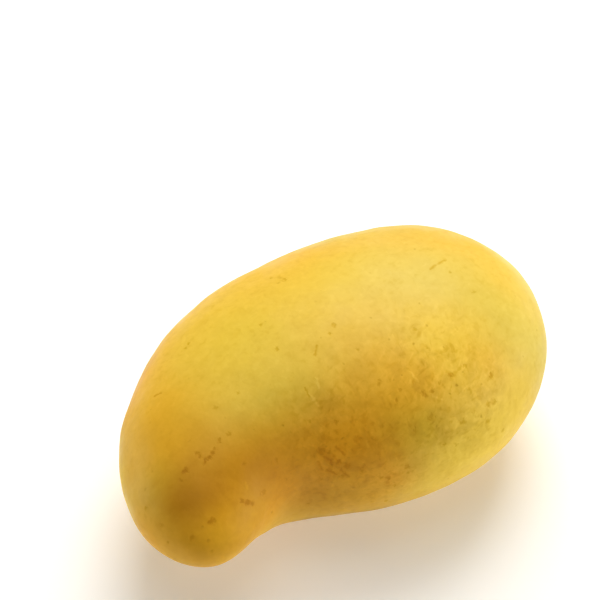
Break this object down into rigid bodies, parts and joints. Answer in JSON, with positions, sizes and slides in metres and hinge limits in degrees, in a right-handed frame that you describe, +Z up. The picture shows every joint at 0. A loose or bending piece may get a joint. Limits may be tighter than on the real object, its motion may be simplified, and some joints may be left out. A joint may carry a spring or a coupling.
{
  "type": "mango",
  "caption": "Whole ripe golden mango with a hooked tip, a notched belly and a short woody stem stub, lying on its flatter cheek.",
  "frame": {"origin": "under the middle of the fruit's box, on the surface that it lies on", "axes": "+X along the fruit towards its stem end, +Y towards its rounded back and away from the notched belly, +Z up through the thickness between its two cheeks"},
  "size_m": [0.1322, 0.0818, 0.0596],
  "materials": {
    "skin": "satin",
    "stem": "matte"
  },
  "bodies": {
    "root": {"fruit": "skin", "stem_stub": "stem"}
  },
  "joints": []
}
